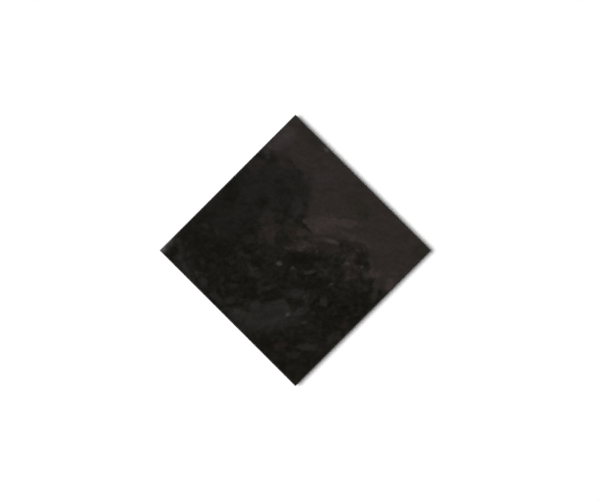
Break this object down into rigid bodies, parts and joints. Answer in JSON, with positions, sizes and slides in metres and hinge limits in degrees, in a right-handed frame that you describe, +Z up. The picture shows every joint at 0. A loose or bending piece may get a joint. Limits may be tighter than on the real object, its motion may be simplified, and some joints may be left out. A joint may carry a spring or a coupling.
{
  "type": "floor tile",
  "caption": "Square dark porcelain floor tile with a flat polished face, fine bevelled edges and a keyed back of shallow pockets that beds in adhesive.",
  "frame": {"origin": "middle of the bedding plane under the back's ribs, which is the middle of the bottom of the tile", "axes": "+Z up through the polished face, +X and +Y along the tile's sides"},
  "size_m": [0.1, 0.1, 0.009],
  "materials": {
    "polished_porcelain": "polished"
  },
  "bodies": {
    "root": {"floor_tile": "polished_porcelain"}
  },
  "joints": []
}
